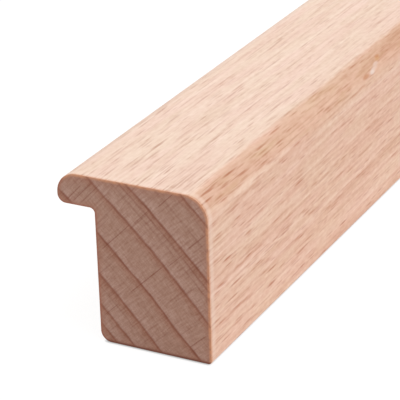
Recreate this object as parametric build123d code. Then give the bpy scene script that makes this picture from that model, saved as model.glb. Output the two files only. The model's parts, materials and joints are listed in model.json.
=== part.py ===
"""A beech rebate strip: one planed length of solid wood with a rebate along its back edge.

Row frame: +X across the strip towards its outer face, +Y along the grain, +Z up from the underside.
The origin is at the middle of the overall box in X and Y, on the underside.
Sizes are in millimetres.
"""

from build123d import *

import os

# Stock
STRIP_LENGTH = 1000.0

# Section across the grain
BODY_WIDTH = 15.0
BODY_HEIGHT = 21.5
LIP_REACH = 5.0
LIP_THICKNESS = 4.0

# Corners of the section, as the moulding cutters leave them
ROUND_EDGE_RADIUS = 3.0
NOSE_UPPER_RADIUS = 2.7
NOSE_LOWER_RADIUS = 1.1
NOSE_FLAT = 0.05
REBATE_CORNER_RADIUS = 0.65
HEEL_RADIUS = 1.4
TOE_RADIUS = 0.5


def nose_radii() -> tuple[float, float]:
    """The bullnose's upper and lower radius, made smaller together where the lip is too thin."""
    room = LIP_THICKNESS - NOSE_FLAT
    share = min(1.0, room / (NOSE_UPPER_RADIUS + NOSE_LOWER_RADIUS))
    return share * NOSE_UPPER_RADIUS, share * NOSE_LOWER_RADIUS


def section_outline() -> Wire:
    """The closed outline of the section, anticlockwise from the heel, in section X and Z."""
    overall_width = BODY_WIDTH + LIP_REACH
    outer_face = overall_width / 2
    nose = -overall_width / 2
    rebate_wall = outer_face - BODY_WIDTH
    lip_underside = BODY_HEIGHT - LIP_THICKNESS
    nose_upper, nose_lower = nose_radii()

    corners = [
        ((rebate_wall, 0), HEEL_RADIUS),
        ((outer_face, 0), TOE_RADIUS),
        ((outer_face, BODY_HEIGHT), ROUND_EDGE_RADIUS),
        ((nose, BODY_HEIGHT), nose_upper),
        ((nose, lip_underside), nose_lower),
        ((rebate_wall, lip_underside), REBATE_CORNER_RADIUS),
    ]
    points = [point for point, _ in corners]
    radii = [radius for _, radius in corners]
    return FilletPolyline(*points, radius=radii, close=True).wire()


def rebate_strip() -> Part:
    """The section drawn out along the grain, with both ends cut square."""
    section = make_face(Plane.XZ * section_outline())
    return extrude(section, amount=STRIP_LENGTH / 2, both=True)


os.makedirs("parts", exist_ok=True)
export_step(rebate_strip(), "parts/rebate_strip.step")
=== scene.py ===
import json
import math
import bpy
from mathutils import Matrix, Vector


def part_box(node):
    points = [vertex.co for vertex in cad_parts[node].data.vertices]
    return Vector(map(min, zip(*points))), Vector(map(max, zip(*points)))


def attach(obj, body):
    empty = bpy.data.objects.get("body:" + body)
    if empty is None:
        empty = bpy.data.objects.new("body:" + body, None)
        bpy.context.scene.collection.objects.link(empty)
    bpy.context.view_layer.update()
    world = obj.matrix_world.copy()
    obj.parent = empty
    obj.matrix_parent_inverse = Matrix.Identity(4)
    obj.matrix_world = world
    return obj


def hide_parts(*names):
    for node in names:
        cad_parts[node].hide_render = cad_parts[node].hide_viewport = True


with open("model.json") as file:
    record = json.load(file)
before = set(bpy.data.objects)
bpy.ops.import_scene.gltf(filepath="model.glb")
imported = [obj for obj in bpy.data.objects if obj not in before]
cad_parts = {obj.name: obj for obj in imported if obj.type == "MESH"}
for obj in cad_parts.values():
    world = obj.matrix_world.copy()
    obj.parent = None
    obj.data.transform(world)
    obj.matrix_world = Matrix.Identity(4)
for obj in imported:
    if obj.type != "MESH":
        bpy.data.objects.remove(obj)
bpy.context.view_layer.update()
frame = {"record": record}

# A beech rebate strip on a pale floor. The strip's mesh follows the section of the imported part. Its
# material is one block of beech: rings, rays and fibres are worked out from the place in the wood, so
# that each of them runs on from the sawn ends over the planed faces.
# Lengths are in metres in the mesh and the studio, and in millimetres in the material.

from types import SimpleNamespace

import bpy
from mathutils import Matrix, Vector
from mathutils.geometry import delaunay_2d_cdt

MM_PER_M = 1000

# Section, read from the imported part
NODE = "rebate_strip"
LOW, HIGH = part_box(NODE)
MOUNT_PLACES = {mount["name"]: mount["pos_m"] for mount in frame["record"]["mounts"]}
NOSE, OUTER_FACE = LOW[0], HIGH[0]
NEAR_END, FAR_END = LOW[1], HIGH[1]
UNDERSIDE, TOP = LOW[2], HIGH[2]
REBATE_WALL = MOUNT_PLACES["rebate_wall"][0]
LIP_UNDERSIDE = MOUNT_PLACES["rebate_seat"][2]

# Corners of the section
ROUND_EDGE_RADIUS = 0.0030
NOSE_UPPER_RADIUS = 0.0027
NOSE_LOWER_RADIUS = 0.0011
REBATE_CORNER_RADIUS = 0.00065
HEEL_RADIUS = 0.0014
TOE_RADIUS = 0.0005

# Steps round the section. Corners tighter than the small radius take fewer of them.
ARC_STEP = math.radians(5)
LEAST_ARC_STEPS = 4
SMALL_RADIUS = 0.0020
STRAIGHT_STEP = 0.0010

# Rows of points along the strip: round the arris of a sawn end, on that end's rim, and then further
# and further apart. Inside the rim a grid of points fills the end.
ARRIS = 0.00012
ARRIS_STEPS = 3
RIM_INSETS = (0.00042, 0.00030, 0.00020)
FIRST_STEP = 0.00015
LONG_STEP = 0.0050
END_GRID = 0.0012
WELD_DISTANCE = 1e-9

# The inset given to the points inside the rim: farther in than the rim's colours reach
INNER_INSET_MM = 1.0

# The chip torn out of the rounded edge: its angle up that edge from the outer face, the rest in metres
CHIP_ANGLE = math.radians(28)
CHIP_FROM_END = 0.0497
CHIP_HALF_LENGTH = 0.0014
CHIP_HALF_WIDTH = 0.0005
CHIP_DEPTH = 0.00012
CHIP_STEP = 0.0002

# The unrolled map: the long faces lie in two bands, each half of the length, and the ends beside them
BAND_LOW = (0.01, 0.51)
BAND_HEIGHT = 0.48
LONG_LEFT, LONG_WIDTH = 0.01, 0.73
END_LEFT, END_WIDTH = 0.76, 0.23

# Growth rings in mm. The pith lies below and left of the section, seen on the near end. The rings'
# edges are measured out from the pith, starting at the lower left corner of the strip's box.
PITH_X = -167.3
PITH_Z = -160.3
PITH_DISTANCE = math.hypot(PITH_X, PITH_Z)
RING_EDGES = (0.0, 1.9, 3.6, 5.5, 7.3, 10.1, 13.95, 18.3, 21.9, 26.9, 31.5)
RING_WIDTHS = tuple(outer - inner for inner, outer in zip(RING_EDGES, RING_EDGES[1:]))

# How bold the dark lines at each ring's two edges are. Then the place and boldness of each fainter line,
# and their half width.
RING_BOLDNESS = (0.5, 0.5, 0.6, 0.7, 0.8, 0.95, 0.85, 1.0, 0.95, 0.85)
FAINT_LINES = ((8.95, 0.35), (12.1, 0.25), (20.3, 0.5), (21.1, 0.85), (24.4, 0.5), (26.1, 0.25))
FAINT_HALF_WIDTH = 0.2

# The whole grain sways along the strip, and the rings are bent by noise: its sizes across, along and up
# the strip, and how far it moves them, all in mm
GRAIN_WANDER = 2.3
WANDER_LENGTH = 600.0
RING_BENDS = (((9, 120, 9), 0.14), ((1.6, 22, 1.6), 0.05))

# Shades of a ring, by the distance in mm from its inner or its outer edge: low is where each has faded
# out, and high is where it is full
EARLYWOOD_FROM_INNER = dict(low=1.9, high=0.15)
LATEWOOD_FROM_OUTER = dict(low=1.3, high=0.1)
LINE_FROM_INNER = dict(low=0.24, high=0.0)
LINE_FROM_OUTER = dict(low=0.36, high=0.08)

# The boldest rays on the near end: x from the nose, z from the underside, half length, half width, in mm
BOLD_RAYS = (
    (11.6, 9.5, 3.9, 0.11),
    (7.7, 14.3, 3.2, 0.10),
    (11.2, 17.5, 1.6, 0.09),
    (18.4, 15.7, 2.2, 0.12),
    (15.6, 12.8, 1.6, 0.09),
    (18.3, 2.8, 1.9, 0.10),
    (3.6, 19.5, 2.5, 0.11),
    (2.4, 19.2, 1.8, 0.10),
    (4.6, 19.4, 2.2, 0.08),
    (14.6, 20.3, 1.8, 0.09),
    (6.7, 4.6, 1.8, 0.08),
)
BOLD_RAY_DEPTH = 1.6

# The share of a bold ray's half length, half width and depth within which it is at its full strength
BOLD_RAY_CORE = (0.6, 0.2, 0.5)

# The common rays, of three kinds. Each ray lies in a cell of these mm out from the pith, round it and
# along the grain. The offset sets the kinds apart. The last two say how strongly a kind marks the planed
# side and the top.
SPINDLES = SimpleNamespace(cell=(8.0, 0.37, 6.2), offset=(0.3, 0.7, 0.1), on_side=0.66, on_top=0.47)
SHORT_SPINDLES = SimpleNamespace(cell=(6.0, 0.34, 4.2), offset=(5.1, 3.3, 8.2), on_side=0.66, on_top=0.41)
LONG_SPINDLES = SimpleNamespace(cell=(7.0, 0.30, 14.0), offset=(2.2, 9.4, 4.6), on_side=0.42, on_top=0.46)

# From the smallest to the largest ray, as a share of its cell, and from the faintest to the boldest
RAY_REACH = (0.26, 0.46)
RAY_STRENGTH = (0.4, 1.0)

# A ray by the distance from its middle, where 1 is its own reach
RAY_EDGE = dict(low=1.05, high=0.15)

# Noise in the wood: the sizes of its features in mm out from the pith, round it and along the grain
FIBRES = (0.42, 0.42, 1.0)
STREAKS = (0.5, 0.5, 40)
MOTTLE = (1.3, 1.3, 5.0)
CLOUDS = (3.2, 3.2, 40)
BLOTCHES = (0.9, 0.6, 3.2)
LINES_OUT = (1.3, 0.24, 4.0)
LINES_ROUND = (0.24, 1.2, 40.0)
SPECKLE = (0.16, 0.16, 3.0)

# Soft patches: as noise of these sizes goes from low to high, they go from start to end, or from 0 to 1.
# The gaps, where rings and flecks are weaker, are at 0. The last two have sizes across, along and up.
LINE_BREAKS = dict(sizes=(2.0, 2.2, 9.0), low=-0.9, high=0.9, start=0.6, end=1.1)
GAP_PATCHES = dict(sizes=(1.2, 1.2, 6.0), low=-0.5, high=0.6)
PINK_PATCHES = dict(sizes=(2.6, 1.6, 10), detail=1.0, low=-0.8, high=0.8)
SANDY_PATCHES = dict(sizes=(1.6, 1.2, 9.0), detail=1.0, low=0.1, high=0.9, end=0.5)
BURNT_PATCHES = dict(sizes=(0.9, 0.9, 0.9), detail=1.0, low=0.1, high=0.9, end=0.7)
TORN_PATCHES = dict(sizes=(0.5, 0.5, 0.5), detail=1.0, low=-0.8, high=0.6, start=0.55, end=1.0)

# How light planed wood is, 0 to 1: the mean, and how much each pattern adds to it. The rings darken it
# less on the top than on the side, and their latewood less than their lines. Only flat sawn wood shows
# the blotches.
MEAN_LEVEL = 0.68
FIBRE_LEVEL = 0.15
STREAK_LEVEL = 0.22
MOTTLE_LEVEL = 0.04
CLOUD_LEVEL = 0.06
BLOTCH_LEVEL = 0.35
RING_LEVELS = (-0.30, -0.16)
LATEWOOD_SHARE = 0.3

# A planed face counts as the top by how far it faces up. A lean towards the outer face takes from that and
# a lean towards the nose adds to it, so the top's paler colour, which is painted sheen, goes on round the
# nose. The mottle blurs the border.
OUTER_LEAN = 0.5
NOSE_LEAN = 0.3
MOTTLE_BLUR = 0.03
TOP_FACING = dict(low=0.74, high=0.98)

# It counts as flat sawn where it nearly follows the rings: on the rounded edge, in a band that is wider
# away from the ends. The blotches blur the border. The more the band faces up, the darker it is: painted
# shade.
BLOTCH_BLUR = 0.075
FLAT_SAWN_FACING = dict(low=0.79, high=0.99)
FLAT_SAWN_WIDER = dict(low=15.0, high=35.0, end=0.04)
UPPER_FACING = dict(low=0.3, high=0.9)

# How clear the flecks are: in the gaps and outside them, by the mm from the end, by how far the surface
# faces across the rings, and on flat sawn wood, which also shows them in the top's colour
FLECKS_IN_GAPS = (0.6, 1.0)
FLECKS_FROM_END = dict(low=45.0, high=5.0, start=0.70, end=1.12)
FLECKS_ACROSS_RINGS = dict(low=0.05, high=0.45, start=0.3, end=1.0)
FLECKS_FLAT_SAWN = (1.0, 1.15)
FLAT_SAWN_MARK = 0.9

# Planed wood beside a sawn end, by the mm from the end: an edge warmed by the saw, then a paler band, a
# painted highlight
WARM_EDGE = dict(low=0.36, high=0.05, end=0.5)
HIGHLIGHT_BAND_START = dict(low=0.25, high=0.5)
HIGHLIGHT_BAND_END = dict(low=1.4, high=0.8)
HIGHLIGHT_BAND_STRENGTH = 0.38


def colour(red, green, blue):
    """A colour as a picture shows it, 0 to 255, in the linear values that shaders use (sRGB's formula)."""
    def linear(part):
        part = part / 255
        return part / 12.92 if part <= 0.04045 else ((part + 0.055) / 1.055) ** 2.4
    return (linear(red), linear(green), linear(blue), 1.0)


# Colours of the planed wood. PINK, FLAT_SAWN_UPPER and BROWN multiply the colour below them.
SIDE_LIGHT = colour(253, 222, 200)
SIDE_MIDDLE = colour(236, 195, 169)
SIDE_DARK = colour(212, 160, 132)
# Painted sheen: the top's colours are paler than the side's
SHEEN_TOP_LIGHT = colour(254, 230, 212)
SHEEN_TOP_MIDDLE = colour(241, 212, 191)
SHEEN_TOP_DARK = colour(216, 178, 153)
PINK = (1.0, 0.96, 0.985, 1.0)
FLAT_SAWN_LIGHT = colour(236, 198, 172)
FLAT_SAWN = colour(224, 181, 154)
FLAT_SAWN_DARK = colour(200, 147, 118)
FLAT_SAWN_SANDY = colour(218, 179, 143)
# Painted shade on the flat sawn band where it faces up
FLAT_SAWN_UPPER = (0.94, 0.95, 0.94, 1.0)
SPINDLE_ON_SIDE = colour(183, 94, 58)
SPINDLE_ON_TOP = colour(169, 96, 58)
BROWN = (0.93, 0.87, 0.83, 1.0)
WHITE = (1.0, 1.0, 1.0, 1.0)

# The level, 0 to 1, at which the planed wood and the flat sawn wood have their middle colour
MIDDLE_LEVEL = 0.55
FLAT_SAWN_MIDDLE_LEVEL = 0.5

# Colours of the sawn ends
# END_PALE also serves as painted light: higher up an end, and in the highlight band beside it
END_PALE = colour(250, 222, 204)
END_MIDDLE = colour(177, 137, 119)
END_EARLY = colour(183, 144, 128)
END_LATE = colour(168, 121, 101)
END_LINE = colour(128, 68, 50)
# END_RIM is also the rim's painted lit side, and END_RIM_DARK its painted shaded side
END_RIM = colour(214, 150, 113)
END_RIM_DARK = colour(168, 108, 86)
# Painted shade along the bottom edge of a sawn end
END_BOTTOM_SHADE = colour(120, 74, 60)

# The sawn ends' fine weave: the weights of its lines round the pith and of its speckle, where the lines
# out from the pith weigh 1, and how much it changes red, green and blue
LINES_ROUND_WEIGHT = 0.8
SPECKLE_WEIGHT = 0.6
END_WEAVE = (0.11, 0.165, 0.20)

# How strongly each pattern draws its lines on a sawn end
END_LINES = 0.68
END_SPINDLES = 0.32
END_SHORT_SPINDLES = 0.28
END_BOLD_RAYS = 0.5

# The rim of a sawn end, by the mm inside its outline: a shade, and the warm line that the saw left
RIM_SHADE = dict(low=0.8, high=0.36, end=0.28)
RIM_LINE = dict(low=0.44, high=0.12, end=0.95)

# The rim is warm where it faces the upper right, which is painted light on the arris, and dark at the
# lower left, which is painted shade. The rings' lines break it.
RIM_FACING = dict(low=-0.3, high=0.5)
RIM_AT_LINES = (1.0, 0.4)

# A sawn end by its height in mm: a little paler above, painted light, and dark along the bottom, painted
# shade
PAINTED_LIGHT_ABOVE = dict(low=10, high=20, end=0.02)
PAINTED_SHADE_AT_BOTTOM = dict(low=0.5, high=0.15, end=0.75)

# Colours of the chip
CHIP_PALE = colour(242, 226, 216)
CHIP_TRAIL = colour(236, 208, 194)
CHIP_ORANGE = colour(200, 136, 96)
CHIP_YELLOW = colour(214, 164, 118)

# Marks of the chip: degrees up the rounded edge, mm from the near end, half width and half length in mm.
# Later ones lie over earlier ones. The brown patch behind the chip has the same four numbers.
CHIP_MARKS = (
    (29, 49.9, 0.38, 1.3, CHIP_TRAIL),
    (36, 50.7, 0.36, 1.1, CHIP_TRAIL),
    (24, 49.0, 0.42, 1.2, CHIP_PALE),
    (25, 46.8, 0.46, 1.4, CHIP_ORANGE),
    (44, 51.9, 0.40, 1.0, CHIP_YELLOW),
    (49, 52.2, 0.30, 0.9, CHIP_ORANGE),
)
CHIP_MARK_STRENGTH = 0.65
BROWN_PATCH = (50, 62.0, 3.0, 14.0)

# A mark by the distance from its middle, where 1 is its own reach
MARK_EDGE = dict(low=1.0, high=0.3)

# The surface: sawn where it faces along the strip, and how rough and uneven it is. The bump's depth is
# in metres. The fibres rise by a share of it, and the flecks are sunk, and smoother than the rest.
END_FACING = dict(low=0.55, high=0.85)
PLANED_ROUGHNESS = 0.65
SAWN_ROUGHNESS = 0.80
SPINDLE_ROUGHNESS = -0.1
BUMP_STRENGTH = 0.06
BUMP_DEPTH = 0.00003
FIBRE_BUMP = 0.3
SPINDLE_BUMP = -0.6
SHINE = 0.2

# Floor, in metres. It gives the strip the light of a plain pale floor, and shows itself as white with a
# soft shadow.
FLOOR_SIZE = 60.0
FLOOR_COLOUR = (0.8, 0.8, 0.8, 1.0)
FLOOR_SEEN_COLOUR = (0.16, 0.16, 0.16, 1.0)
FLOOR_SEEN_GLOW = 0.9

# The thin dark line where the strip meets the floor, within this reach in metres. Each place of the
# floor looks for the strip in this direction, so the line forms along the near end and not at the foot
# of the outer face.
CONTACT_SHADOW_REACH = 0.00036
CONTACT_SHADOW_LOOK = (0.75, 0.6, 0.3)

# Light: the sky's strength, and the lamp's strength, the direction it shines from and its width in degrees
SKY = 0.6
KEY_STRENGTH = 1.38
KEY_DIRECTION = (0.40, -0.02, 0.92)
KEY_WIDTH = 50

# Camera, as it stood for the photograph: metres, degrees, and the lens in mm
CAMERA_PLACE = (0.10508, NEAR_END - 0.18060, 0.11398)
CAMERA_AZIMUTH = 27.99
CAMERA_ELEVATION = 24.40
CAMERA_ROLL = -1.77
CAMERA_LENS = 178.2


# Section and mesh of the strip

def arc(corner, radius, start, concave=False):
    """(x, z, outward x, outward z) along a rounded corner that starts at this outward angle."""
    fineness = math.sqrt(min(1, radius / SMALL_RADIUS))
    steps = max(LEAST_ARC_STEPS, round(math.pi / 2 / ARC_STEP * fineness))
    sign = -1 if concave else 1
    middle = start + sign * math.pi / 4
    reach = radius * math.sqrt(2)
    centre_x = corner[0] - sign * reach * math.cos(middle)
    centre_z = corner[1] - sign * reach * math.sin(middle)
    points = []
    for step in range(steps + 1):
        angle = start + sign * math.pi / 2 * step / steps
        out_x, out_z = math.cos(angle), math.sin(angle)
        points.append((centre_x + sign * radius * out_x, centre_z + sign * radius * out_z, out_x, out_z))
    return points


def section():
    """The section's outline with its outward directions, anticlockwise seen from the near end."""
    down, right, up, left = (math.radians(angle) for angle in (-90, 0, 90, 180))
    arcs = [
        arc((OUTER_FACE, UNDERSIDE), TOE_RADIUS, down),
        arc((OUTER_FACE, TOP), ROUND_EDGE_RADIUS, right),
        arc((NOSE, TOP), NOSE_UPPER_RADIUS, up),
        arc((NOSE, LIP_UNDERSIDE), NOSE_LOWER_RADIUS, left),
        arc((REBATE_WALL, LIP_UNDERSIDE), REBATE_CORNER_RADIUS, left + math.radians(90), concave=True),
        arc((REBATE_WALL, UNDERSIDE), HEEL_RADIUS, left),
    ]
    points = []
    for curve, following in zip(arcs, arcs[1:] + arcs[:1]):
        points += curve
        last, first = curve[-1], following[0]
        gap = math.hypot(first[0] - last[0], first[1] - last[1])
        count = math.ceil(gap / STRAIGHT_STEP)
        for step in range(1, count):
            share = step / count
            points.append(tuple(a + (b - a) * share for a, b in zip(last, first)))
    return points


def stations():
    """(y, inset of the section) for each row of points, from the near end's rim to the far end's."""
    near = [(NEAR_END, inset) for inset in RIM_INSETS]
    for step in range(ARRIS_STEPS + 1):
        angle = math.pi / 2 * step / ARRIS_STEPS
        near.append((NEAR_END + ARRIS * (1 - math.cos(angle)), ARRIS * (1 - math.sin(angle))))
    step = FIRST_STEP
    place = near[-1][0] + step
    while step < LONG_STEP:
        near.append((place, 0.0))
        step = min(2 * step, LONG_STEP)
        place += step
    far = [(NEAR_END + FAR_END - y, inset) for y, inset in reversed(near)]
    start, end = near[-1][0], far[0][0]
    count = round((end - start) / LONG_STEP)
    middle = [(start + (end - start) * step / count, 0.0) for step in range(1, count)]
    chip_middle = NEAR_END + CHIP_FROM_END
    chip_steps = math.ceil(CHIP_HALF_LENGTH / CHIP_STEP)
    chip = [(chip_middle + step * CHIP_STEP, 0.0) for step in range(-chip_steps, chip_steps + 1)]
    return near + sorted(middle + chip) + far


def chip_depth(x, y, z):
    """How deep the chip is at a place on the surface."""
    centre_x = OUTER_FACE - ROUND_EDGE_RADIUS
    centre_z = TOP - ROUND_EDGE_RADIUS
    turn = math.atan2(z - centre_z, x - centre_x) - CHIP_ANGLE
    across = turn * ROUND_EDGE_RADIUS / CHIP_HALF_WIDTH
    along = (y - NEAR_END - CHIP_FROM_END) / CHIP_HALF_LENGTH
    return CHIP_DEPTH * max(0.0, 1 - across ** 2 - along ** 2)


def row_points(outline, rows):
    """The points of every row, row after row, with the chip pressed in."""
    points = []
    for y, inset in rows:
        for x, z, out_x, out_z in outline:
            depth = inset + chip_depth(x, y, z)
            points.append((x - depth * out_x, y, z - depth * out_z))
    return points


def long_place(y, round_share, upper):
    """A place in the unrolled map for a point on the long faces, in the lower or the upper band."""
    half = (FAR_END - NEAR_END) / 2
    share = (y - NEAR_END) / half - upper
    return LONG_LEFT + LONG_WIDTH * share, BAND_LOW[upper] + BAND_HEIGHT * round_share


def end_place(vertex, upper):
    """A place in the unrolled map for a point on an end."""
    x, _, z = vertex
    share_x = (x - NOSE) / (OUTER_FACE - NOSE)
    share_z = (z - UNDERSIDE) / (TOP - UNDERSIDE)
    return END_LEFT + END_WIDTH * share_x, BAND_LOW[upper] + BAND_HEIGHT * share_z


def row_faces(vertices, rows, around):
    """Faces from each row of points to the next, and where their corners lie in the unrolled map."""
    faces = []
    map_places = []
    last_row = len(rows) - 1
    rim_rows = len(RIM_INSETS)
    for row in range(last_row):
        on_an_end = row < rim_rows or row >= last_row - rim_rows
        upper = rows[row][0] + rows[row + 1][0] > NEAR_END + FAR_END
        low = row * around
        high = low + around
        for column in range(around):
            following = (column + 1) % around
            corners = (low + column, high + column, high + following, low + following)
            faces.append(corners)
            if on_an_end:
                map_places += [end_place(vertices[corner], upper) for corner in corners]
            else:
                shares = (column, column, column + 1, column + 1)
                ys = [vertices[corner][1] for corner in corners]
                map_places += [long_place(y, share / around, upper) for y, share in zip(ys, shares)]
    return faces, map_places


def end_fill(contour):
    """Triangles that fill a closed contour, with a grid of further points inside it."""
    points = [Vector(point) for point in contour]
    columns = math.floor((OUTER_FACE - NOSE) / END_GRID)
    rows = math.floor((TOP - UNDERSIDE) / END_GRID)
    for column in range(1, columns):
        for row in range(1, rows):
            place = Vector((NOSE + (column + row % 2 / 2) * END_GRID, UNDERSIDE + row * END_GRID))
            if min((place - point).length for point in points[:len(contour)]) > END_GRID / 2:
                points.append(place)
    loop = list(range(len(contour)))
    # Output type 0 is every triangle over all the points, and the last list names the contour it is in
    filled, _, triangles, sources, _, loops = delaunay_2d_cdt(points, [], [loop], 0, WELD_DISTANCE, True)
    inside = [triangle for triangle, found in zip(triangles, loops) if found]
    return [source[0] for source in sources], filled, inside


def add_ends(vertices, faces, map_places, around):
    """Fill the first and the last row of points with the same triangles, turned over at the far end."""
    first_loop = [(x, z) for x, _, z in vertices[:around]]
    sources, filled, triangles = end_fill(first_loop)
    last_row_start = len(vertices) - around
    for loop_start, y, is_far in ((0, NEAR_END, False), (last_row_start, FAR_END, True)):
        numbers = []
        for source, place in zip(sources, filled):
            if source < around:
                numbers.append(loop_start + source)
            else:
                numbers.append(len(vertices))
                vertices.append((place.x, y, place.y))
        for triangle in triangles:
            corners = [numbers[corner] for corner in (reversed(triangle) if is_far else triangle)]
            faces.append(tuple(corners))
            map_places += [end_place(vertices[corner], is_far) for corner in corners]


def strip_mesh():
    """The strip's closed surface, with its unrolled map and what the material needs to know of the rim.

    inset_mm is how far a point of the rim lies inside the outline. rim_facing is how far the outline
    beside it faces the upper right. It moves the rim's colour from the dark one, painted shade, to the warm
    one, painted light.
    """
    outline = section()
    rows = stations()
    vertices = row_points(outline, rows)
    row_point_count = len(vertices)
    faces, map_places = row_faces(vertices, rows, len(outline))
    add_ends(vertices, faces, map_places, len(outline))

    mesh = bpy.data.meshes.new("beech_strip")
    mesh.from_pydata(vertices, [], faces)
    mesh.update()
    mesh.polygons.foreach_set("use_smooth", [True] * len(faces))
    inner_points = len(vertices) - row_point_count
    insets = [inset * MM_PER_M for _, inset in rows for _ in outline] + [INNER_INSET_MM] * inner_points
    facing = [out_x + out_z for _, _, out_x, out_z in outline] * len(rows) + [0.0] * inner_points
    mesh.attributes.new("inset_mm", "FLOAT", "POINT").data.foreach_set("value", insets)
    mesh.attributes.new("rim_facing", "FLOAT", "POINT").data.foreach_set("value", facing)
    unrolled = mesh.uv_layers.new(name="OFBake")
    unrolled.data.foreach_set("uv", [part for place in map_places for part in place])
    return mesh


# Nodes of a material

NOISE_DETAIL = 2.0

# The texture's noise lies about a half. This spread brings most of it within -1 to 1.
NOISE_SPREAD = 4.0

# The numbers of the Mix node's sockets for colours
MIX_FIRST, MIX_SECOND, MIX_RESULT = 6, 7, 2


class Nodes:
    """One node tree, with a short call for each kind of node."""

    def __init__(self, tree):
        self.tree = tree
        tree.nodes.clear()

    def add(self, kind, inputs=None, **settings):
        node = self.tree.nodes.new(kind)
        for name, value in settings.items():
            setattr(node, name, value)
        for socket, value in (inputs or {}).items():
            self.feed(node.inputs[socket], value)
        return node

    def feed(self, socket, value):
        if isinstance(value, bpy.types.NodeSocket):
            self.tree.links.new(value, socket)
        else:
            socket.default_value = value

    def math(self, operation, *values):
        return self.add("ShaderNodeMath", dict(enumerate(values)), operation=operation).outputs[0]

    def vector(self, operation, *values):
        node = self.add("ShaderNodeVectorMath", dict(enumerate(values)), operation=operation)
        return node.outputs["Value" if operation in ("LENGTH", "DOT_PRODUCT") else "Vector"]

    def parts(self, vector):
        return self.add("ShaderNodeSeparateXYZ", {0: vector}).outputs

    def joined(self, x, y, z):
        return self.add("ShaderNodeCombineXYZ", {0: x, 1: y, 2: z}).outputs[0]

    def scaled(self, value, start, end):
        """From start to end in a straight line as the value goes from 0 to 1."""
        return self.math("MULTIPLY_ADD", value, end - start, start)

    def between(self, value, low, high, start=0.0, end=1.0):
        """A soft step from start to end as the value goes from low to high."""
        inputs = {"Value": value, "From Min": low, "From Max": high, "To Min": start, "To Max": end}
        return self.add("ShaderNodeMapRange", inputs, interpolation_type="SMOOTHSTEP").outputs[0]

    def noise(self, place, sizes, detail=NOISE_DETAIL):
        """Noise about 0, mostly within -1 to 1, whose features have these sizes."""
        inputs = {"Vector": self.vector("DIVIDE", place, sizes), "Scale": 1.0, "Detail": detail}
        about_half = self.add("ShaderNodeTexNoise", inputs).outputs[0]
        return self.math("MULTIPLY_ADD", about_half, NOISE_SPREAD, -NOISE_SPREAD / 2)

    def patches(self, place, sizes, detail=NOISE_DETAIL, **step):
        """A soft step over noise of these sizes."""
        return self.between(self.noise(place, sizes, detail), **step)

    def ramp(self, value, stops, interpolation="LINEAR"):
        """Grey or colour stops, each a place from 0 to 1 with a number or a colour."""
        node = self.add("ShaderNodeValToRGB", {0: value})
        node.color_ramp.interpolation = interpolation
        elements = node.color_ramp.elements
        while len(elements) < len(stops):
            elements.new(1.0)
        for element, (place, shade) in zip(elements, stops):
            element.position = place
            element.color = shade if isinstance(shade, tuple) else (shade, shade, shade, 1)
        return node.outputs[0]

    def mix(self, factor, first, second, blend_type="MIX"):
        node = self.add("ShaderNodeMix", None, data_type="RGBA", blend_type=blend_type)
        for socket, value in (("Factor", factor), (MIX_FIRST, first), (MIX_SECOND, second)):
            self.feed(node.inputs[socket], value)
        return node.outputs[MIX_RESULT]


def new_material(name):
    """A material and its emptied node tree."""
    material = bpy.data.materials.new(name)
    material.use_nodes = True
    return material, Nodes(material.node_tree)


# Beech

def wood_place(g):
    """Places in mm: in the part, and in the wood as (out from the pith, round the pith, along the grain).

    Also the direction out from the pith.
    """
    local = g.add("ShaderNodeTexCoord").outputs["Object"]
    to_corner = (-MM_PER_M * NOSE, -MM_PER_M * NEAR_END, -MM_PER_M * UNDERSIDE)
    place = g.vector("MULTIPLY_ADD", local, (MM_PER_M, MM_PER_M, MM_PER_M), to_corner)
    along = g.parts(place)[1]
    from_pith = g.vector("MULTIPLY_ADD", place, (1, 0, 1), (-PITH_X, 0, -PITH_Z))

    turn = g.math("MULTIPLY", along, 2 * math.pi / WANDER_LENGTH)
    wander = g.math("MULTIPLY", g.math("SINE", turn), GRAIN_WANDER)
    out = g.math("SUBTRACT", g.vector("LENGTH", from_pith), PITH_DISTANCE)
    out = g.math("SUBTRACT", out, wander)
    for sizes, bend in RING_BENDS:
        out = g.math("MULTIPLY_ADD", g.noise(place, sizes, detail=1.0), bend, out)

    x, _, z = g.parts(from_pith)
    round_pith = g.math("MULTIPLY", g.math("ARCTAN2", z, x), PITH_DISTANCE)
    return place, g.joined(out, round_pith, along), g.vector("NORMALIZE", from_pith)


def wood_place_of(x, z):
    """The place in the wood of a point on the near end, in mm from the nose and the underside."""
    out = math.hypot(x - PITH_X, z - PITH_Z) - PITH_DISTANCE
    return out, math.atan2(z - PITH_Z, x - PITH_X) * PITH_DISTANCE, 0.0


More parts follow.
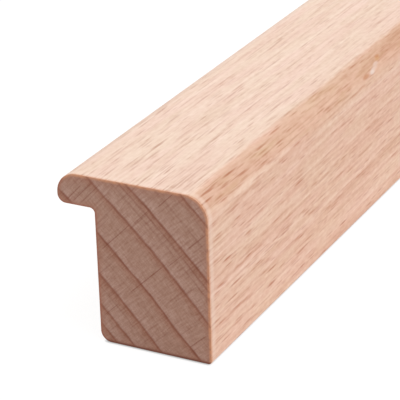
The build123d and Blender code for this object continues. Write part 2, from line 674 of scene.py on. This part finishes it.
def ring_shades(g, wood):
    """(pale wood just outside each ring's edge, darker wood inside it, the dark lines at the edges)."""
    reach = RING_EDGES[-1]
    share = g.math("DIVIDE", g.parts(wood)[0], reach)
    rings = len(RING_WIDTHS)
    counts = [(edge / reach, count / rings) for count, edge in enumerate(RING_EDGES)]
    place_in_ring = g.math("FRACT", g.math("MULTIPLY", g.ramp(share, counts), rings))
    widths = [(edge / reach, width / reach) for edge, width in zip(RING_EDGES, RING_WIDTHS)]
    width = g.math("MULTIPLY", g.ramp(share, widths, "CONSTANT"), reach)
    from_inner = g.math("MULTIPLY", place_in_ring, width)
    from_outer = g.math("SUBTRACT", width, from_inner)

    before_edge = g.between(from_outer, **LINE_FROM_OUTER)
    lines = g.math("MAXIMUM", before_edge, g.between(from_inner, **LINE_FROM_INNER))
    boldness = [(edge / reach, value) for edge, value in zip(RING_EDGES, RING_BOLDNESS)]
    lines = g.math("MULTIPLY", lines, g.ramp(share, boldness, "CONSTANT"))
    faint = [(0.0, 0.0)]
    for middle, value in FAINT_LINES:
        sides = (middle - FAINT_HALF_WIDTH, middle + FAINT_HALF_WIDTH)
        faint += [(sides[0] / reach, 0.0), (middle / reach, value), (sides[1] / reach, 0.0)]
    lines = g.math("MAXIMUM", lines, g.ramp(share, faint))
    earlywood = g.between(from_inner, **EARLYWOOD_FROM_INNER)
    latewood = g.between(from_outer, **LATEWOOD_FROM_OUTER)
    return earlywood, latewood, lines


def rays(g, wood, kind):
    """Thin plates that stand along the grain and reach out from the pith, one in each cell.

    They are lines on an end, and spindles on a planed face.
    """
    moved = g.vector("ADD", g.vector("DIVIDE", wood, kind.cell), kind.offset)
    cells = g.add("ShaderNodeTexVoronoi", {"Vector": moved, "Scale": 1.0})
    random = g.parts(cells.outputs["Color"])
    nearness = g.math("DIVIDE", cells.outputs["Distance"], g.scaled(random[0], *RAY_REACH))
    return g.math("MULTIPLY", g.between(nearness, **RAY_EDGE), g.scaled(random[1], *RAY_STRENGTH))


def bold_rays(g, wood):
    """The few rays that stand out on the near end."""
    total = 0.0
    for x, z, half_length, half_width in BOLD_RAYS:
        offset = g.vector("ABSOLUTE", g.vector("SUBTRACT", wood, wood_place_of(x, z)))
        shares = g.parts(g.vector("DIVIDE", offset, (half_length, half_width, BOLD_RAY_DEPTH)))
        out, round_pith, along = (g.between(share, 1.0, core) for share, core in zip(shares, BOLD_RAY_CORE))
        ray = g.math("MULTIPLY", g.math("MULTIPLY", out, round_pith), along)
        total = g.math("MAXIMUM", total, ray)
    return total


def grain(g):
    """The patterns of the wood, worked out once for the planed faces and the sawn ends."""
    place, wood, outwards = wood_place(g)
    earlywood, latewood, lines = ring_shades(g, wood)
    half_length = MM_PER_M * (FAR_END - NEAR_END) / 2
    from_middle = g.math("ABSOLUTE", g.math("SUBTRACT", g.parts(place)[1], half_length))
    return SimpleNamespace(
        place=place,
        from_end=g.math("SUBTRACT", half_length, from_middle),
        wood=wood,
        outwards=outwards,
        earlywood=earlywood,
        latewood=latewood,
        lines=g.math("MULTIPLY", lines, g.patches(wood, **LINE_BREAKS)),
        spindles=rays(g, wood, SPINDLES),
        short_spindles=rays(g, wood, SHORT_SPINDLES),
        long_spindles=rays(g, wood, LONG_SPINDLES),
        bold_rays=bold_rays(g, wood),
        fibres=g.noise(wood, FIBRES),
        streaks=g.noise(wood, STREAKS),
        mottle=g.noise(wood, MOTTLE),
        clouds=g.noise(wood, CLOUDS),
        blotches=g.noise(wood, BLOTCHES),
        gaps=g.patches(wood, **GAP_PATCHES),
    )


def facings(g, wood, normal):
    """How far a planed face is the top, how far it faces across the rings, and how far it is flat sawn."""
    normal_x, _, normal_z = g.parts(normal)
    outer_lean = g.math("MULTIPLY", normal_x, OUTER_LEAN)
    lean = g.math("MAXIMUM", outer_lean, g.math("MULTIPLY", normal_x, NOSE_LEAN))
    upright = g.math("SUBTRACT", normal_z, lean)
    facing_up = g.between(g.math("MULTIPLY_ADD", wood.mottle, MOTTLE_BLUR, upright), **TOP_FACING)
    across_rings = g.math("ABSOLUTE", g.vector("DOT_PRODUCT", normal, wood.outwards))
    across_rings = g.math("ADD", across_rings, g.between(wood.from_end, **FLAT_SAWN_WIDER))
    blurred = g.math("MULTIPLY_ADD", wood.blotches, BLOTCH_BLUR, across_rings)
    return facing_up, across_rings, g.between(blurred, **FLAT_SAWN_FACING)


def grain_level(g, wood, ring_strength):
    """How light the wood is along the grain, 0 to 1, before its colour."""
    level = g.math("MULTIPLY_ADD", wood.fibres, FIBRE_LEVEL, MEAN_LEVEL)
    level = g.math("MULTIPLY_ADD", wood.streaks, STREAK_LEVEL, level)
    level = g.math("MULTIPLY_ADD", wood.mottle, MOTTLE_LEVEL, level)
    level = g.math("MULTIPLY_ADD", wood.clouds, CLOUD_LEVEL, level)
    lines = g.math("MULTIPLY", wood.lines, wood.gaps)
    rings = g.math("MULTIPLY_ADD", wood.latewood, LATEWOOD_SHARE, lines)
    return g.math("MULTIPLY_ADD", rings, ring_strength, level)


def graded(g, level, dark, middle, light, middle_level=MIDDLE_LEVEL):
    """The colour of wood of this level, from dark through middle to light."""
    return g.ramp(level, [(0.0, dark), (middle_level, middle), (1.0, light)])


def flat_sawn_tone(g, wood, level, normal):
    """The browner, blotched colour of wood cut along its rings, with painted shade the more it faces up."""
    level = g.math("MULTIPLY_ADD", wood.blotches, BLOTCH_LEVEL, level)
    tone = graded(g, level, FLAT_SAWN_DARK, FLAT_SAWN, FLAT_SAWN_LIGHT, FLAT_SAWN_MIDDLE_LEVEL)
    tone = g.mix(g.patches(wood.wood, **SANDY_PATCHES), tone, FLAT_SAWN_SANDY)
    # Painted shade: darker the more the band faces up
    upper = g.between(g.parts(normal)[2], **UPPER_FACING)
    return g.mix(upper, tone, FLAT_SAWN_UPPER, "MULTIPLY")


def planed_face(g, wood, normal):
    """The colour along the grain: paler on the top, which is painted sheen, and browner where the cut
    follows the rings.
    """
    facing_up, across_rings, flat_sawn = facings(g, wood, normal)
    ring_strength = g.math("MULTIPLY", g.scaled(facing_up, *RING_LEVELS), g.math("SUBTRACT", 1.0, flat_sawn))
    level = grain_level(g, wood, ring_strength)
    side = graded(g, level, SIDE_DARK, SIDE_MIDDLE, SIDE_LIGHT)
    top = graded(g, level, SHEEN_TOP_DARK, SHEEN_TOP_MIDDLE, SHEEN_TOP_LIGHT)
    # The top's paler colour is painted sheen
    tone = g.mix(facing_up, side, top)
    tone = g.mix(flat_sawn, tone, flat_sawn_tone(g, wood, level, normal))
    tone = g.mix(g.patches(wood.wood, **PINK_PATCHES), tone, PINK, "MULTIPLY")
    tone = flecked(g, wood, tone, facing_up, across_rings, flat_sawn)
    return beside_cut(g, wood, tone)


def flecked(g, wood, tone, facing_up, across_rings, flat_sawn):
    """Ray flecks: bold on the side, fainter and browner on the top, clearest near the ends.

    Where the surface runs along the rays it shows their flat sides, which are broad and faint.
    """
    browner = g.math("MAXIMUM", facing_up, g.math("MULTIPLY", flat_sawn, FLAT_SAWN_MARK))
    mark = g.mix(browner, SPINDLE_ON_SIDE, SPINDLE_ON_TOP)
    clearness = g.scaled(wood.gaps, *FLECKS_IN_GAPS)
    clearness = g.math("MULTIPLY", clearness, g.between(wood.from_end, **FLECKS_FROM_END))
    clearness = g.math("MULTIPLY", clearness, g.scaled(flat_sawn, *FLECKS_FLAT_SAWN))
    clearness = g.math("MULTIPLY", clearness, g.between(across_rings, **FLECKS_ACROSS_RINGS))
    layers = (
        (wood.spindles, SPINDLES),
        (wood.short_spindles, SHORT_SPINDLES),
        (wood.long_spindles, LONG_SPINDLES),
    )
    for flecks, kind in layers:
        strength = g.math("MULTIPLY", g.scaled(facing_up, kind.on_side, kind.on_top), clearness)
        tone = g.mix(g.math("MULTIPLY", flecks, strength), tone, mark)
    return tone


def beside_cut(g, wood, tone):
    """The faces next to a sawn end: a warm edge from the saw, then a slightly paler band, a painted
    highlight.
    """
    tone = g.mix(g.between(wood.from_end, **WARM_EDGE), tone, END_RIM)
    # Painted highlight: a paler band just beyond the warm edge
    band_start = g.between(wood.from_end, **HIGHLIGHT_BAND_START)
    pale = g.math("MULTIPLY", band_start, g.between(wood.from_end, **HIGHLIGHT_BAND_END))
    return g.mix(g.math("MULTIPLY", pale, HIGHLIGHT_BAND_STRENGTH), tone, END_PALE)


def edge_mark(g, wood, angle, along, half_width, half_length):
    """1 in the middle of a long mark on the rounded edge and 0 outside it."""
    radius = MM_PER_M * ROUND_EDGE_RADIUS
    turn = math.radians(angle)
    x = MM_PER_M * (OUTER_FACE - NOSE) - radius + radius * math.cos(turn)
    z = MM_PER_M * (TOP - UNDERSIDE) - radius + radius * math.sin(turn)
    sizes = (half_width, half_length, half_width)
    offset = g.vector("DIVIDE", g.vector("SUBTRACT", wood.place, (x, along, z)), sizes)
    return g.between(g.vector("LENGTH", offset), **MARK_EDGE)


def chipped(g, wood, tone):
    """The pale chip in the rounded edge, the orange marks at its two ends, and the brown wood behind."""
    tone = g.mix(edge_mark(g, wood, *BROWN_PATCH), tone, BROWN, "MULTIPLY")
    for *place_and_size, shade in CHIP_MARKS:
        mark = g.math("MULTIPLY", edge_mark(g, wood, *place_and_size), CHIP_MARK_STRENGTH)
        tone = g.mix(mark, tone, shade)
    return tone


def woven(g, wood, tone):
    """The fine weave of a sawn end: short lines out from the pith and round it, and a speckle."""
    lines_out = g.noise(wood.wood, LINES_OUT, detail=1.0)
    lines_round = g.noise(wood.wood, LINES_ROUND, detail=1.0)
    speckle = g.noise(wood.wood, SPECKLE, detail=1.0)
    weave = g.math("MULTIPLY_ADD", lines_round, LINES_ROUND_WEIGHT, lines_out)
    weave = g.math("MULTIPLY_ADD", speckle, SPECKLE_WEIGHT, weave)
    shade = g.vector("MULTIPLY_ADD", g.joined(weave, weave, weave), END_WEAVE, (1, 1, 1))
    return g.mix(1.0, tone, shade, "MULTIPLY")


def rimmed(g, wood, tone):
    """The warm, broken line that the saw left along an end's outline, with a shade inside it. Its warmth at
    the upper right is painted light, and its darkness at the lower left is painted shade.
    """
    inset = g.add("ShaderNodeAttribute", attribute_name="inset_mm").outputs["Fac"]
    facing = g.add("ShaderNodeAttribute", attribute_name="rim_facing").outputs["Fac"]
    tone = g.mix(g.between(inset, **RIM_SHADE), tone, END_RIM_DARK)
    # Painted light and shade: warm where the outline faces the upper right, dark at the lower left
    rim = g.mix(g.between(facing, **RIM_FACING), END_RIM_DARK, END_RIM)
    rim = g.mix(g.patches(wood.place, **BURNT_PATCHES), rim, END_RIM_DARK)
    whole = g.math("MULTIPLY", g.patches(wood.place, **TORN_PATCHES), g.scaled(wood.lines, *RIM_AT_LINES))
    return g.mix(g.math("MULTIPLY", g.between(inset, **RIM_LINE), whole), tone, rim)


def sawn_end(g, wood):
    """The darker end grain with its rings and rays, the warm line along its outline, painted light above and
    painted shade along the bottom edge.
    """
    tone = g.mix(wood.latewood, END_MIDDLE, END_LATE)
    tone = g.mix(wood.earlywood, tone, END_EARLY)
    tone = woven(g, wood, tone)
    drawn = (
        (wood.lines, END_LINES),
        (wood.spindles, END_SPINDLES),
        (wood.short_spindles, END_SHORT_SPINDLES),
        (wood.bold_rays, END_BOLD_RAYS),
    )
    for pattern, strength in drawn:
        tone = g.mix(g.math("MULTIPLY", pattern, strength), tone, END_LINE)
    tone = rimmed(g, wood, tone)
    height = g.parts(wood.place)[2]
    # Painted light: a little paler higher up the end
    tone = g.mix(g.between(height, **PAINTED_LIGHT_ABOVE), tone, END_PALE)
    # Painted shade along the bottom edge, where the end meets the floor
    return g.mix(g.between(height, **PAINTED_SHADE_AT_BOTTOM), tone, END_BOTTOM_SHADE)


def beech():
    """Planed beech, with sawn end grain where the surface faces along the strip."""
    material, g = new_material("beech")
    normal = g.add("ShaderNodeTexCoord").outputs["Normal"]
    wood = grain(g)
    facing_end = g.between(g.math("ABSOLUTE", g.parts(normal)[1]), **END_FACING)
    planed = chipped(g, wood, planed_face(g, wood, normal))
    surface = g.mix(facing_end, planed, sawn_end(g, wood))

    roughness = g.scaled(facing_end, PLANED_ROUGHNESS, SAWN_ROUGHNESS)
    roughness = g.math("MULTIPLY_ADD", wood.spindles, SPINDLE_ROUGHNESS, roughness)
    fibre_height = g.math("MULTIPLY", wood.fibres, FIBRE_BUMP)
    height = g.math("MULTIPLY_ADD", wood.spindles, SPINDLE_BUMP, fibre_height)
    bump = g.add("ShaderNodeBump", {"Height": height, "Strength": BUMP_STRENGTH, "Distance": BUMP_DEPTH})
    inputs = {"Base Color": surface, "Roughness": roughness, "Specular IOR Level": SHINE}
    shader = g.add("ShaderNodeBsdfPrincipled", inputs)
    g.feed(shader.inputs["Normal"], bump.outputs[0])
    g.add("ShaderNodeOutputMaterial", {0: shader.outputs[0]})
    return material


def strip():
    """The whole strip, in place of the solid."""
    mesh = strip_mesh()
    mesh.materials.append(beech())
    piece = bpy.data.objects.new("beech_strip", mesh)
    bpy.context.scene.collection.objects.link(piece)
    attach(piece, "root")
    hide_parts(NODE)


# Studio

def seen_directly(g):
    """1 for the camera's rays and for what gloss and glass show, otherwise 0."""
    path = g.add("ShaderNodeLightPath").outputs
    seen = g.math("MAXIMUM", path["Is Camera Ray"], path["Is Glossy Ray"])
    return g.math("MAXIMUM", seen, path["Is Transmission Ray"])


def floor_white():
    """White that lights the strip as a plain pale floor would, and shows white with a soft shadow."""
    material, g = new_material("floor_white")
    plain = g.add("ShaderNodeBsdfDiffuse", {"Color": FLOOR_COLOUR})
    shown = g.add("ShaderNodeBsdfDiffuse", {"Color": FLOOR_SEEN_COLOUR})
    contact = {"Distance": CONTACT_SHADOW_REACH, "Normal": g.joined(*CONTACT_SHADOW_LOOK)}
    open_air = g.add("ShaderNodeAmbientOcclusion", contact).outputs["AO"]
    strength = g.math("MULTIPLY", open_air, FLOOR_SEEN_GLOW)
    glow = g.add("ShaderNodeEmission", {"Color": WHITE, "Strength": strength})
    lifted = g.add("ShaderNodeAddShader", {0: shown.outputs[0], 1: glow.outputs[0]})
    shaders = {0: seen_directly(g), 1: plain.outputs[0], 2: lifted.outputs[0]}
    chosen = g.add("ShaderNodeMixShader", shaders)
    g.add("ShaderNodeOutputMaterial", {0: chosen.outputs[0]})
    return material


def floor():
    """A wide square under the strip."""
    half = FLOOR_SIZE / 2
    corners = [(-half, -half, 0), (half, -half, 0), (half, half, 0), (-half, half, 0)]
    mesh = bpy.data.meshes.new("floor")
    mesh.from_pydata(corners, [], [(0, 1, 2, 3)])
    mesh.materials.append(floor_white())
    piece = bpy.data.objects.new("floor", mesh)
    bpy.context.scene.collection.objects.link(piece)


def sky():
    """An even pale sky that shows as white."""
    world = bpy.data.worlds.new("studio")
    bpy.context.scene.world = world
    world.use_nodes = True
    g = Nodes(world.node_tree)
    strength = g.scaled(seen_directly(g), SKY, 1.0)
    background = g.add("ShaderNodeBackground", {"Color": WHITE, "Strength": strength})
    g.add("ShaderNodeOutputWorld", {0: background.outputs[0]})


def lamp(name, strength, direction, width):
    """A wide, far lamp that shines from this direction."""
    data = bpy.data.lights.new(name, "SUN")
    data.energy = strength
    data.angle = math.radians(width)
    piece = bpy.data.objects.new(name, data)
    piece.rotation_euler = Vector(direction).to_track_quat("Z", "Y").to_euler()
    bpy.context.scene.collection.objects.link(piece)


def camera():
    """The camera of the photograph."""
    data = bpy.data.cameras.new("camera")
    data.lens = CAMERA_LENS
    piece = bpy.data.objects.new("camera", data)
    turn = Matrix.Rotation(math.radians(CAMERA_AZIMUTH), 4, "Z")
    tilt = Matrix.Rotation(math.radians(90 - CAMERA_ELEVATION), 4, "X")
    roll = Matrix.Rotation(math.radians(CAMERA_ROLL), 4, "Z")
    piece.matrix_world = Matrix.Translation(CAMERA_PLACE) @ turn @ tilt @ roll
    bpy.context.scene.collection.objects.link(piece)
    bpy.context.scene.camera = piece


strip()
floor()
sky()
lamp("key", KEY_STRENGTH, KEY_DIRECTION, KEY_WIDTH)
camera()
bpy.context.scene.view_settings.view_transform = "Standard"
